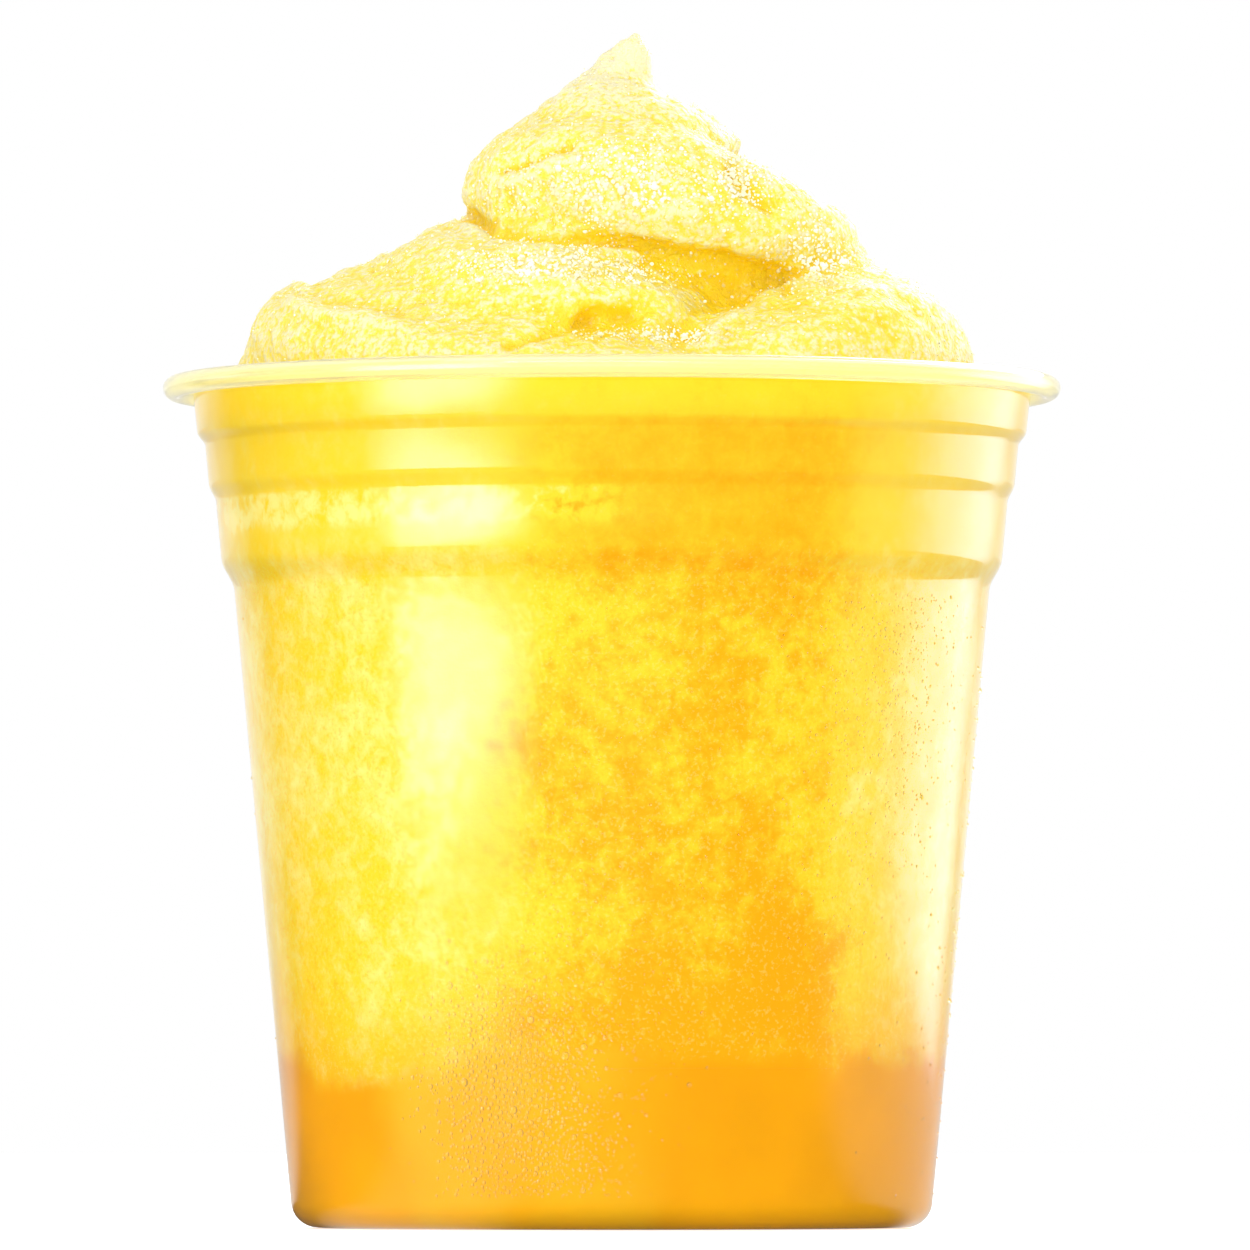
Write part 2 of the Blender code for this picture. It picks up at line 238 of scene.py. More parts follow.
class StageSettings(bpy.types.PropertyGroup):
    """The camera, the lights and the floor."""

    distance: length("Distance", 1500.0, "From the camera to the cup's axis")
    eye_height: length("Eye height", 12.0, "Height of the camera above the floor")
    aim_height: length("Aim height", 65.6, "Height that the camera looks at")
    aside: length("Aside", 1.44, "How far the frame's middle is from the cup's axis")
    lens: number("Lens", 396.5, "Focal length in millimetres")
    sky: number("Sky", 0.74, "Strength of the light from all round")
    key: number("Key", 2.6, "Watts of the soft light overhead")
    fill: number("Fill", 2.6, "Watts of the light beside the camera")
    left: number("Left", 8.8, "Strength of the left panel")
    right: number("Right", 3.3, "Strength of the right panel")
    high: number("High", 9.0, "Strength of the panel over the camera")
    floor: colour("Floor", (0.93, 0.93, 0.93), "Colour of the floor")
    floor_glow: number("Floor glow", 0.55, "Light of the floor's own")


def smooth(share):
    """Eases from 0 to 1 as share does."""
    share = min(1.0, max(0.0, share))
    return share * share * (3 - 2 * share)


def wall_radius(cup, z):
    """Outer radius of the cup's wall at height z."""
    steps = sum(step * smooth((z / MM - low) / (high - low)) for low, high, step in LEDGES_MM)
    return cup.cone_radius + cup.taper * z + steps * MM


def arc(centre, radius, start, end, steps):
    """Points (r, z) on an arc between two angles in degrees, both ends included."""
    turns = [math.radians(start + (end - start) * i / steps) for i in range(steps + 1)]
    return [(centre[0] + radius * math.cos(t), centre[1] + radius * math.sin(t)) for t in turns]


def wall_heights(low, high):
    """Heights between two levels at which the wall's curve needs a ring, bottom to top."""
    heights = [low + (high - low) * i / 6 for i in range(1, 6)]
    for first, last, _ in LEDGES_MM:
        heights += [(first + (last - first) * i / 8) * MM for i in range(9)]
    return sorted(z for z in heights if low < z < high)


def base_profile(cup, lift):
    """The base's section from the axis outwards, raised by lift above the underside."""
    shift = lift * math.tan(math.radians(22.5))
    foot = cup.panel_radius + cup.push_up
    corner = (wall_radius(cup, cup.corner_radius) - cup.corner_radius, cup.corner_radius)
    panel = [(cup.panel_radius * share, cup.push_up + lift) for share in (0.5, 0.97)]
    slope = [(cup.panel_radius + shift, cup.push_up + lift * 0.97), (foot + shift, lift * 1.03)]
    flat = [(foot + shift + 0.4 * MM, lift)]
    return panel + slope + flat + arc(corner, cup.corner_radius - lift, -90, 0, 8)


def lip_profile(cup, top):
    """The rolled lip's section: under it, round its curl, over the top and down into the cup."""
    under = top - cup.lip_thickness
    centre = (cup.rim_radius - cup.curl_radius, top - cup.curl_radius)
    root_radius = 0.9 * MM
    neck = wall_radius(cup, under)
    neck_arc = arc((neck + 0.6 * MM, under - 0.6 * MM), 0.6 * MM, 180, 90, 5)
    inside_curl = arc(centre, cup.curl_radius - cup.lip_thickness, 90, -165, 14)
    outside_curl = arc(centre, cup.curl_radius, -165, 90, 18)
    root = (wall_radius(cup, top - root_radius) - cup.wall + root_radius, top - root_radius)
    return neck_arc + inside_curl + outside_curl + arc(root, root_radius, 90, 180, 6)


def deselect_all():
    if bpy.context.object and bpy.context.object.mode != "OBJECT":
        bpy.ops.object.mode_set(mode="OBJECT")
    bpy.ops.object.select_all(action="DESELECT")


def select_only(piece):
    deselect_all()
    piece.select_set(True)
    bpy.context.view_layer.objects.active = piece


def apply_modifiers(piece):
    select_only(piece)
    for modifier in list(piece.modifiers):
        bpy.ops.object.modifier_apply(modifier=modifier.name)


def settle(piece):
    """Leaves a piece at the origin, unturned and unscaled, with its place in its mesh."""
    select_only(piece)
    bpy.ops.object.transform_apply(location=True, rotation=True, scale=True)


def turned(name, profile, segments):
    """A closed piece drawn out of a disc ring by ring, from the axis underneath to the axis on top."""
    deselect_all()
    (radius, height), rest = profile[0], profile[1:]
    bpy.ops.mesh.primitive_circle_add(
        vertices=segments, radius=radius, fill_type="TRIFAN", location=(0, 0, height)
    )
    piece = bpy.context.object
    piece.name = piece.data.name = name
    settle(piece)
    bpy.ops.object.mode_set(mode="EDIT")
    bpy.ops.mesh.select_mode(type="EDGE")
    bpy.ops.mesh.select_all(action="DESELECT")
    bpy.ops.mesh.select_non_manifold(extend=False)
    for next_radius, next_height in rest:
        bpy.ops.mesh.extrude_region_move(TRANSFORM_OT_translate={"value": (0, 0, next_height - height)})
        grow = next_radius / radius
        bpy.ops.transform.resize(value=(grow, grow, 1.0), center_override=(0.0, 0.0, next_height))
        radius, height = next_radius, next_height
    bpy.ops.mesh.extrude_region_move()
    bpy.ops.mesh.merge(type="CENTER")
    bpy.ops.mesh.select_all(action="SELECT")
    bpy.ops.mesh.normals_make_consistent(inside=False)
    bpy.ops.object.mode_set(mode="OBJECT")
    bpy.ops.object.shade_smooth_by_angle(angle=math.radians(50))
    return piece


def cad_copy(node, name):
    """A CAD node's form as a new piece with its corners merged."""
    deselect_all()
    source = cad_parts[node]
    piece = bpy.data.objects.new(name, source.data.copy())
    piece.data.name = name
    bpy.context.scene.collection.objects.link(piece)
    select_only(piece)
    bpy.ops.object.mode_set(mode="EDIT")
    bpy.ops.mesh.select_all(action="SELECT")
    bpy.ops.mesh.remove_doubles(threshold=0.01 * MM)
    bpy.ops.mesh.normals_make_consistent(inside=False)
    bpy.ops.object.mode_set(mode="OBJECT")
    return piece


def drop_below(piece, height):
    """Cuts a piece level at a height and closes the cut."""
    select_only(piece)
    bpy.ops.object.mode_set(mode="EDIT")
    bpy.ops.mesh.select_all(action="SELECT")
    bpy.ops.mesh.bisect(
        plane_co=(0, 0, height), plane_no=(0, 0, 1), use_fill=True, clear_inner=True, clear_outer=False
    )
    bpy.ops.object.mode_set(mode="OBJECT")


def relief(piece, size, height, noise_depth):
    """Raises cloudy lumps of a size on a piece."""
    texture = bpy.data.textures.new(f"{piece.name} relief", "CLOUDS")
    texture.noise_scale = size
    texture.noise_depth = noise_depth
    modifier = piece.modifiers.new("relief", "DISPLACE")
    modifier.texture = texture
    modifier.texture_coords = "LOCAL"
    modifier.mid_level = 0.5
    modifier.strength = height
    apply_modifiers(piece)


def remesh(piece, voxel):
    modifier = piece.modifiers.new("remesh", "REMESH")
    modifier.mode = "VOXEL"
    modifier.voxel_size = voxel
    modifier.use_smooth_shade = True
    apply_modifiers(piece)


def even_out(piece, factor, times):
    modifier = piece.modifiers.new("even out", "SMOOTH")
    modifier.factor = factor
    modifier.iterations = times
    apply_modifiers(piece)


def vectors(items, name):
    """A vector of every vertex or face, in rows."""
    values = np.empty(len(items) * 3)
    items.foreach_get(name, values)
    return values.reshape(-1, 3)


def nearness(points, line, half_width, outline=False):
    """1 on a line over the shown side, or over its outline, fading to 0 away from it."""
    line = np.array(line) * MM
    flat = points[:, [0, 2]]
    best = np.full(len(points), np.inf)
    for start, end in zip(line, line[1:]):
        along = end - start
        share = np.clip((flat - start) @ along / (along @ along), 0, 1)
        best = np.minimum(best, np.linalg.norm(flat - start - share[:, None] * along, axis=1))
    near = np.exp(-((best / (half_width * MM)) ** 2))
    depths = points[:, 1] / MM
    if outline:
        return near * np.exp(-(((depths - OUTLINE_MM) / REACH_MM) ** 2))
    return near * np.clip(0.5 - depths / REACH_MM, 0, 1)


def press(piece, name, weights, height):
    """Raises or lowers a piece along its normals where the weights say."""
    group = piece.vertex_groups.new(name=name)
    for index in np.flatnonzero(weights > 0.02):
        group.add([int(index)], float(weights[index]), "REPLACE")
    modifier = piece.modifiers.new(name, "DISPLACE")
    modifier.vertex_group = name
    modifier.mid_level = 0.0
    modifier.strength = height
    apply_modifiers(piece)
    piece.vertex_groups.remove(piece.vertex_groups[name])


def mark_folds(piece, name, painted):
    """Stores how deep each vertex lies in a fold, with the painted marks added: 0 on a ridge, 0.5 on even
    ground and 1 deep inside. The swirl's colour turns this into painted shade.
    """
    mesh = piece.data
    points, normals = vectors(mesh.vertices, "co"), vectors(mesh.vertices, "normal")
    edges = np.empty(len(mesh.edges) * 2, int)
    mesh.edges.foreach_get("vertices", edges)
    first, second = edges.reshape(-1, 2).T
    links = np.bincount(np.concatenate([first, second]), minlength=len(points))
    even = points.copy()
    depth = painted.copy()
    done = 0
    for passes, scale in FOLD_SCALES:
        for _ in range(passes - done):
            total = np.zeros_like(even)
            for axis in range(3):
                total[:, axis] = np.bincount(first, even[second, axis], len(points))
                total[:, axis] += np.bincount(second, even[first, axis], len(points))
            even = (1 - EVENING) * even + EVENING * total / links[:, None]
        done = passes
        depth += np.clip(((even - points) * normals).sum(axis=1) / scale, -1, 1)
    attribute = mesh.attributes.new(name, "FLOAT", "POINT")
    attribute.data.foreach_set("value", np.clip(0.5 + 0.5 * depth, 0, 1).astype(np.float32))


def scattered(name, template, places, normals, sizes, turns, sink):
    """Copies of a small template mesh stood on a surface, all in one mesh."""
    corners = vectors(template.vertices, "co")
    faces = np.array([p.vertices[:] for p in template.polygons])
    helper = np.where(np.abs(normals[:, 2:3]) < 0.9, [[0.0, 0.0, 1.0]], [[1.0, 0.0, 0.0]])
    side = np.cross(helper, normals)
    side /= np.linalg.norm(side, axis=1)[:, None]
    across = np.cross(normals, side)
    cos, sin = np.cos(turns)[:, None], np.sin(turns)[:, None]
    side, across = side * cos + across * sin, across * cos - side * sin
    local = corners[None, :, :] * sizes[:, None, :]
    spots = places - normals * (sizes[:, 2:3] * sink)
    points = spots[:, None, :] + local[:, :, 0:1] * side[:, None, :]
    points += local[:, :, 1:2] * across[:, None, :] + local[:, :, 2:3] * normals[:, None, :]
    shifted = faces[None, :, :] + (np.arange(len(places)) * len(corners))[:, None, None]
    mesh = bpy.data.meshes.new(name)
    mesh.from_pydata(points.reshape(-1, 3).tolist(), [], shifted.reshape(-1, faces.shape[1]).tolist())
    piece = bpy.data.objects.new(name, mesh)
    bpy.context.scene.collection.objects.link(piece)
    return piece


class Nodes:
    """Short ways to add and join the nodes of one tree."""

    def __init__(self, tree):
        self.tree = tree

    def add(self, kind, inputs=None, **settings):
        node = self.tree.nodes.new(kind)
        for key, value in settings.items():
            setattr(node, key, value)
        for key, value in (inputs or {}).items():
            if isinstance(value, bpy.types.NodeSocket):
                self.tree.links.new(value, node.inputs[key])
            elif isinstance(value, tuple) and len(value) == 3 and node.inputs[key].type == "RGBA":
                node.inputs[key].default_value = (*value, 1.0)
            else:
                node.inputs[key].default_value = value
        return node

    def place(self):
        return self.add("ShaderNodeTexCoord").outputs["Object"]

    def split(self, place):
        return self.add("ShaderNodeSeparateXYZ", {0: place})

    def math(self, operation, a, b=0.0, clamp=False):
        return self.add("ShaderNodeMath", {0: a, 1: b}, operation=operation, use_clamp=clamp).outputs[0]

    def plus(self, a, b, clamp=False):
        return self.math("ADD", a, b, clamp)

    def minus(self, a, b):
        return self.math("SUBTRACT", a, b)

    def times(self, a, b):
        return self.math("MULTIPLY", a, b)

    def across(self, x, y):
        """Distance from the axis."""
        return self.math("SQRT", self.plus(self.times(x, x), self.times(y, y)))

    def ease(self, value, low, high):
        """0 below low, 1 above high and smooth between them."""
        inputs = {"Value": value, "From Min": low, "From Max": high}
        return self.add("ShaderNodeMapRange", inputs, interpolation_type="SMOOTHSTEP").outputs[0]

    def rise(self, height, levels_mm):
        """ease over two heights in millimetres."""
        return self.ease(height, levels_mm[0] * MM, levels_mm[1] * MM)

    def mix(self, share, a, b):
        """Two colours in the share that a socket gives."""
        node = self.add("ShaderNodeMix", data_type="RGBA")
        for socket, value in zip((node.inputs[0], node.inputs[6], node.inputs[7]), (share, a, b)):
            if isinstance(value, bpy.types.NodeSocket):
                self.tree.links.new(value, socket)
            else:
                socket.default_value = (*value, 1.0)
        return node.outputs[2]

    def noise(self, place, scale, detail, roughness=0.5, distortion=0.0):
        inputs = {"Vector": place, "Scale": scale, "Detail": detail, "Roughness": roughness}
        return self.add("ShaderNodeTexNoise", {**inputs, "Distortion": distortion}).outputs[0]

    def swap_for(self, ray, shader, other, output):
        """Shows one shader, and another one to rays of one kind."""
        kind = self.add("ShaderNodeLightPath").outputs[ray]
        mixed = self.add("ShaderNodeMixShader", {0: kind, 1: shader.outputs[0], 2: other.outputs[0]})
        self.tree.links.new(mixed.outputs[0], output.inputs["Surface"])

    def facing(self, place, degrees):
        """1 where a place lies towards the shown side, turned by degrees to its right, and -1 opposite."""
        x, y, _ = self.split(place).outputs
        reach = self.across(x, y)
        turn = math.radians(degrees)
        ahead = self.minus(self.times(x, math.sin(turn)), self.times(y, math.cos(turn)))
        return self.math("DIVIDE", ahead, self.math("MAXIMUM", reach, 0.001))


def new_group(name, inputs, outputs):
    """A shader node group: the numbers that go in with their defaults, and the names of what comes out."""
    group = bpy.data.node_groups.new(name, "ShaderNodeTree")
    for label, default in inputs.items():
        socket = group.interface.new_socket(label, in_out="INPUT", socket_type="NodeSocketFloat")
        socket.default_value = default
    for label in outputs:
        group.interface.new_socket(label, in_out="OUTPUT", socket_type="NodeSocketFloat")
    nodes = Nodes(group)
    return group, nodes, nodes.add("NodeGroupInput"), nodes.add("NodeGroupOutput")


def slush_group():
    """Clumps of ice with juice between them: a tone from 0, juicy, to 1, icy, and fine specks around 0."""
    if "slush grain" in bpy.data.node_groups:
        return bpy.data.node_groups["slush grain"]
    inputs = {"Clump Size": 1.0, "Icy": 0.5, "Contrast": 3.0}
    group, nodes, given, made = new_group("slush grain", inputs, ("Tone", "Specks"))
    place = nodes.place()
    size = given.outputs["Clump Size"]
    broad = nodes.noise(place, nodes.math("DIVIDE", 52.0, size), 2.0)
    middle = nodes.noise(place, nodes.math("DIVIDE", 180.0, size), 3.0, 0.55, 0.25)
    small = nodes.noise(place, nodes.math("DIVIDE", 560.0, size), 4.0, 0.6, 0.3)
    specks = nodes.noise(place, 2300.0, 2.0, 0.6)
    heap = nodes.plus(nodes.times(small, 0.40), nodes.times(middle, 0.32))
    heap = nodes.plus(heap, nodes.times(broad, 0.28))
    swing = nodes.times(nodes.minus(heap, 0.5), given.outputs["Contrast"])
    tone = nodes.plus(swing, given.outputs["Icy"], clamp=True)
    group.links.new(tone, made.inputs["Tone"])
    group.links.new(nodes.minus(specks, 0.5), made.inputs["Specks"])
    return group


def new_material(name):
    made = bpy.data.materials.new(name)
    made.use_nodes = True
    nodes = Nodes(made.node_tree)
    return made, nodes, made.node_tree.nodes["Principled BSDF"], made.node_tree.nodes["Material Output"]


def set_values(shader, values):
    for key, value in values.items():
        shader.inputs[key].default_value = value


def bump(nodes, height, strength, distance):
    inputs = {"Height": height, "Strength": strength, "Distance": distance}
    return nodes.add("ShaderNodeBump", inputs).outputs[0]


def clear_material(name, tint, roughness, clearness, index=1.5):
    """Clear plastic or water: lamps shine through it, and everything else bends and mirrors in it."""
    made, nodes, shader, output = new_material(name)
    set_values(shader, {"Roughness": roughness, "IOR": index, "Transmission Weight": clearness})
    shader.inputs["Base Color"].default_value = (*tint, 1.0)
    through = nodes.add("ShaderNodeBsdfTransparent", {"Color": tint})
    nodes.swap_for("Is Shadow Ray", shader, through, output)
    return made


def drink_colour(nodes, drink):
    """The colour of what the cup holds at each place, and its specks: juice below, slush above."""
    place = nodes.place()
    z = nodes.split(place).outputs["Z"]
    # More juice than ice lies right of the middle of the shown side, and low down
    cloud = nodes.noise(place, 38.0, 3.0, 0.55)
    side = nodes.plus(nodes.facing(place, 13), nodes.times(nodes.minus(cloud, 0.5), 0.34))
    juicy = nodes.ease(side, 0.79, 0.99)
    juicy = nodes.times(juicy, nodes.minus(1.0, nodes.times(nodes.rise(z, JUICY_ENDS_MM), 0.7)))
    low_down = nodes.rise(z, LOW_DOWN_MM)
    # Between the ledges it also has more juice
    ledges = nodes.rise(z, PRESSED_MM)
    icy = nodes.minus(0.67, nodes.times(juicy, 0.33))
    settled = nodes.plus(0.13, nodes.times(juicy, 0.13))
    icy = nodes.minus(icy, nodes.times(low_down, settled))
    icy = nodes.minus(icy, nodes.times(ledges, 0.08))
    contrast = nodes.minus(1.95, nodes.times(ledges, 1.2))
    # A band of frost clings under the middle ledge, left of the shown side
    frost = nodes.times(nodes.rise(z, FROST_MM[0]), nodes.rise(z, FROST_MM[1]))
    frost = nodes.times(frost, nodes.ease(nodes.facing(place, -42), 0.68, 0.82))
    icy = nodes.plus(icy, nodes.times(frost, 0.16))
    contrast = nodes.plus(contrast, nodes.times(frost, 3.0))
    grain = nodes.add("ShaderNodeGroup", {"Icy": icy, "Contrast": contrast}, node_tree=slush_group())
    tone, specks = grain.outputs
    slush = nodes.mix(nodes.ease(tone, 0.1, 0.52), drink.deep, drink.yellow)
    slush = nodes.mix(nodes.ease(tone, 0.5, 0.98), slush, drink.pale)
    # The juice's edge is ragged, and a little of it is drawn up into the slush
    ragged = nodes.minus(nodes.noise(place, 120.0, 4.0, 0.62, 0.3), 0.5)
    hump = nodes.times(nodes.ease(nodes.facing(place, -6), 0.92, 1.0), 1.8 * MM)
    dip = nodes.times(nodes.ease(nodes.facing(place, -46), 0.92, 1.0), 2.2 * MM)
    edge = nodes.plus(nodes.times(ragged, 0.009), nodes.minus(hump, dip))
    above = nodes.minus(z, nodes.plus(edge, drink.juice_level))
    clear = nodes.rise(above, JUICE_EDGE_MM)
    drawn = nodes.times(nodes.rise(above, DRAWN_UP_MM), 0.45)
    slush = nodes.mix(drawn, slush, drink.deep)
    murk = nodes.noise(place, 60.0, 3.0)
    juice = nodes.mix(nodes.ease(murk, 0.35, 0.7), drink.juice, tuple(c * 0.9 for c in drink.juice))
    # The juice is paler and yellower left of the middle
    near = nodes.plus(nodes.facing(place, -17), nodes.times(nodes.minus(murk, 0.5), 0.3))
    paler_juice = nodes.times(nodes.ease(near, 0.9, 1.04), 0.42)
    juice = nodes.mix(paler_juice, juice, drink.yellow)
    # The open top round the swirl is as pale as the swirl
    open_top = nodes.times(nodes.ease(z, FILL_TOP - 0.7 * MM, FILL_TOP), 0.75)
    slush = nodes.mix(open_top, slush, drink.cream)
    full = nodes.mix(clear, juice, slush)
    specks = nodes.times(specks, nodes.minus(clear, nodes.times(ledges, 0.6)))
    full = nodes.mix(nodes.times(nodes.ease(specks, 0.03, 0.2), 0.24), full, drink.pale)
    return nodes.mix(nodes.times(nodes.ease(specks, -0.03, -0.2), 0.26), full, drink.deep), specks


def contents_material(name, drink):
    made, nodes, shader, _ = new_material(name)
    found, specks = drink_colour(nodes, drink)
    # Painted glow: what the cup holds gives off a faint light of its own colour. It stands in for daylight
    # coming through the slush from behind, and it lifts the drink's shade
    for socket in ("Base Color", "Emission Color"):
        nodes.tree.links.new(found, shader.inputs[socket])
    nodes.tree.links.new(bump(nodes, specks, 0.25, 0.2 * MM), shader.inputs["Normal"])
    # No air lies between the contents and the wall, so they hardly shine there
    set_values(shader, {"Roughness": 0.3, "Specular IOR Level": 0.08, "Emission Strength": drink.glow})
    return made


def swirl_material(drink):
    """Piped slush: pale grains over lemon, with painted shade that makes it more amber the deeper a fold is
    and paler on the ridges.
    """
    made, nodes, shader, _ = new_material("piped slush")
    place = nodes.place()
    x, y, z = nodes.split(place).outputs
    fold = nodes.add("ShaderNodeAttribute", attribute_name="fold").outputs["Fac"]
    clumps = {"Clump Size": 0.6, "Icy": 0.5, "Contrast": 2.2}
    grain = nodes.add("ShaderNodeGroup", clumps, node_tree=slush_group())
    tone, specks = grain.outputs
    # Fine lines follow the strokes round the axis
    angle = nodes.math("ARCTAN2", y, x)
    reach = nodes.across(x, y)
    climb = nodes.minus(z, nodes.times(angle, 0.0012))
    along = nodes.times(angle, 0.012)
    lines = nodes.add("ShaderNodeCombineXYZ", {0: along, 1: climb, 2: reach}).outputs[0]
    lines = nodes.noise(lines, 1300.0, 2.0)
    fine = nodes.noise(place, 3100.0, 1.0)
    cells = nodes.add("ShaderNodeTexVoronoi", {"Vector": place, "Scale": 1350.0}).outputs["Distance"]
    grainy = nodes.plus(nodes.times(nodes.plus(specks, 0.5), 0.45), nodes.times(fine, 0.35))
    grainy = nodes.plus(grainy, nodes.times(lines, 0.3))
    grainy = nodes.minus(grainy, nodes.times(nodes.minus(cells, 0.45), 0.4))
    # Painted shade from the fold depth, which is 0.5 on even ground: amber deep in folds, cream on ridges,
    # and less of it towards the peak
    high = nodes.rise(z, PALE_PEAK_MM)
    shade = nodes.minus(fold, nodes.times(high, 0.8))
    shade = nodes.plus(shade, nodes.times(nodes.minus(0.5, tone), 0.3))
    pale = nodes.minus(nodes.times(nodes.minus(grainy, 0.54), 3.4), shade)
    full = nodes.mix(nodes.ease(pale, -0.9, 0.2), drink.lemon, drink.cream)
    amber = nodes.minus(shade, nodes.times(nodes.minus(grainy, 0.54), 0.8))
    full = nodes.mix(nodes.ease(amber, 0.55, 0.95), full, drink.amber)
    full = nodes.mix(nodes.times(nodes.ease(grainy, 0.6, 0.74), 0.4), full, drink.cream)
    nodes.tree.links.new(full, shader.inputs["Base Color"])
    nodes.tree.links.new(bump(nodes, grainy, 0.9, 0.4 * MM), shader.inputs["Normal"])
    values = {
        "Roughness": 0.3,
        "Subsurface Weight": 0.5,
        "Subsurface Radius": (1.0, 0.95, 0.25),
        "Subsurface Scale": 2.2 * MM,
        "Specular IOR Level": 0.3,
    }
    set_values(shader, values)
    return made


def dress(piece, material, slot, *nodes_replaced):
    """Gives a finished piece its material and its place in the model."""
    piece.data.materials.clear()
    piece.data.materials.append(material)
    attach(piece, "root")
    if nodes_replaced:
        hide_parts(*nodes_replaced)


class DRINK_OT_cup(bpy.types.Operator):
    """Model the clear cup: base, tapered wall with three ledges, and rolled lip"""

    bl_idname = "drink.cup"
    bl_label = "Cup"

    def execute(self, context):
        cup = context.scene.drink_cup
        heights = wall_heights(cup.corner_radius, CUP_TOP - 2.5 * MM)
        profile = base_profile(cup, 0.0) + [(wall_radius(cup, z), z) for z in heights]
        profile += lip_profile(cup, CUP_TOP)
        profile += [(wall_radius(cup, z) - cup.wall, z) for z in reversed(heights)]
        profile += base_profile(cup, cup.wall)[::-1]
        piece = turned("clear_cup", profile, cup.segments)
        plastic = clear_material("clear plastic", tuple(cup.tint), cup.haze, clearness=1.0)
        dress(piece, plastic, "clear_plastic", "cup")
        # The rolled lip is thicker and gathers light, so it looks milky
        milky = clear_material("lip plastic", tuple(cup.lip_tint), roughness=0.04, clearness=0.76)
        piece.data.materials.append(milky)
        for face in piece.data.polygons:
            x, y, z = face.center
            if math.hypot(x, y) > wall_radius(cup, z) + 0.1 * MM and z > CUP_TOP - 4 * MM:
                face.material_index = 1
        return {"FINISHED"}


class DRINK_OT_contents(bpy.types.Operator):
    """Model the settled juice and the slush above it, each reaching just into the wall"""

    bl_idname = "drink.contents"
    bl_label = "Contents"

    def execute(self, context):
        cup = context.scene.drink_cup
        drink = context.scene.drink_contents
        inset = cup.wall - drink.bite
        floor = base_profile(cup, inset)
        # The juice and the slush overlap, so that no gap shows between them
        juice_top = drink.juice_level + 1.5 * MM
        bottom = drink.juice_level - 1.0 * MM

        juice = floor + [(wall_radius(cup, juice_top) - inset - 0.03 * MM, juice_top)]
        juice += [(share * wall_radius(cup, juice_top), juice_top + 0.5 * MM) for share in (0.9, 0.5)]
        piece = turned("settled_juice", juice, 96)
        dress(piece, contents_material("settled juice", drink), "juice", "juice_layer")

        heights = [bottom + 0.4 * MM, *wall_heights(bottom + MM, FILL_TOP - 0.3 * MM), FILL_TOP - 0.2 * MM]
        slush = [(share * wall_radius(cup, bottom), bottom) for share in (0.5, 0.9)]
        slush += [(wall_radius(cup, z) - inset, z) for z in heights]
        rim = wall_radius(cup, FILL_TOP) - inset
        slush += [(rim - step * MM, FILL_TOP + 0.25 * MM) for step in TOP_STEPS_MM]
        piece = turned("slush_body", slush, 192)
        self.roughen_top(piece, FILL_TOP - 0.1 * MM, rim)
        dress(piece, contents_material("slush", drink), "slush", "slush_fill")
        return {"FINISHED"}

    def roughen_top(self, piece, level, rim):
        """Raises lumps on the slush's top, which fade out at the wall."""
        top = piece.vertex_groups.new(name="top")
        for vertex in piece.data.vertices:
            if vertex.co.z > level:
                reach = math.hypot(vertex.co.x, vertex.co.y)
                top.add([vertex.index], smooth((rim - reach) / MM / 1.5), "REPLACE")
        texture = bpy.data.textures.new("slush top", "CLOUDS")
        texture.noise_scale = 2.4 * MM
        modifier = piece.modifiers.new("lumps", "DISPLACE")
        modifier.texture = texture
        modifier.texture_coords = "LOCAL"
        modifier.direction = "Z"
        modifier.mid_level = 0.6
        modifier.strength = 1.6 * MM
        modifier.vertex_group = "top"
        apply_modifiers(piece)


class DRINK_OT_swirl(bpy.types.Operator):
    """Remesh the solid swirl, press folds and ridges into it and roughen it"""

    bl_idname = "drink.swirl"
    bl_label = "Swirl"

    def execute(self, context):
        swirl = context.scene.drink_swirl
        drink = context.scene.drink_contents
        piece = cad_copy("slush_swirl", "piped_swirl")
        select_only(piece)
        bpy.ops.object.mode_set(mode="EDIT")
        bpy.ops.mesh.select_all(action="DESELECT")
        bpy.ops.object.mode_set(mode="OBJECT")
        for face in piece.data.polygons:
            face.select = face.normal.z < -0.9 and face.center.z < SWIRL_FOOT + 0.2 * MM
        bpy.ops.object.mode_set(mode="EDIT")
        bpy.ops.transform.translate(value=(0, 0, -FOOT_SINK))
        bpy.ops.object.mode_set(mode="OBJECT")
        remesh(piece, swirl.voxel)
        even_out(piece, 0.5, 8)
        for place, (name, line, half_width, height) in enumerate(SWIRL_MARKS):
            near = nearness(vectors(piece.data.vertices, "co"), line, half_width, place >= FOLD_MARKS)
            press(piece, name, near, height * MM)
        relief(piece, swirl.lump_size, swirl.lumps, 1)
        relief(piece, swirl.crag_size, swirl.crags, 2)
        points = vectors(piece.data.vertices, "co")
        # Painted shade and light: folds are coloured deeper and ridges paler
        painted = np.zeros(len(points))
        for _, line, half_width, height in SWIRL_MARKS[:FOLD_MARKS]:
            painted -= nearness(points, line, half_width * PAINT_WIDTH) * height * PAINT_DEPTH
        # Painted shade in the shaded spots
        for line, half_width, depth in SHADED_SPOTS:
            painted += nearness(points, line, half_width) * depth
        mark_folds(piece, "fold", painted)
        settle(piece)
        bpy.ops.object.shade_smooth()
        dress(piece, swirl_material(drink), "swirl", "slush_swirl")
        return {"FINISHED"}


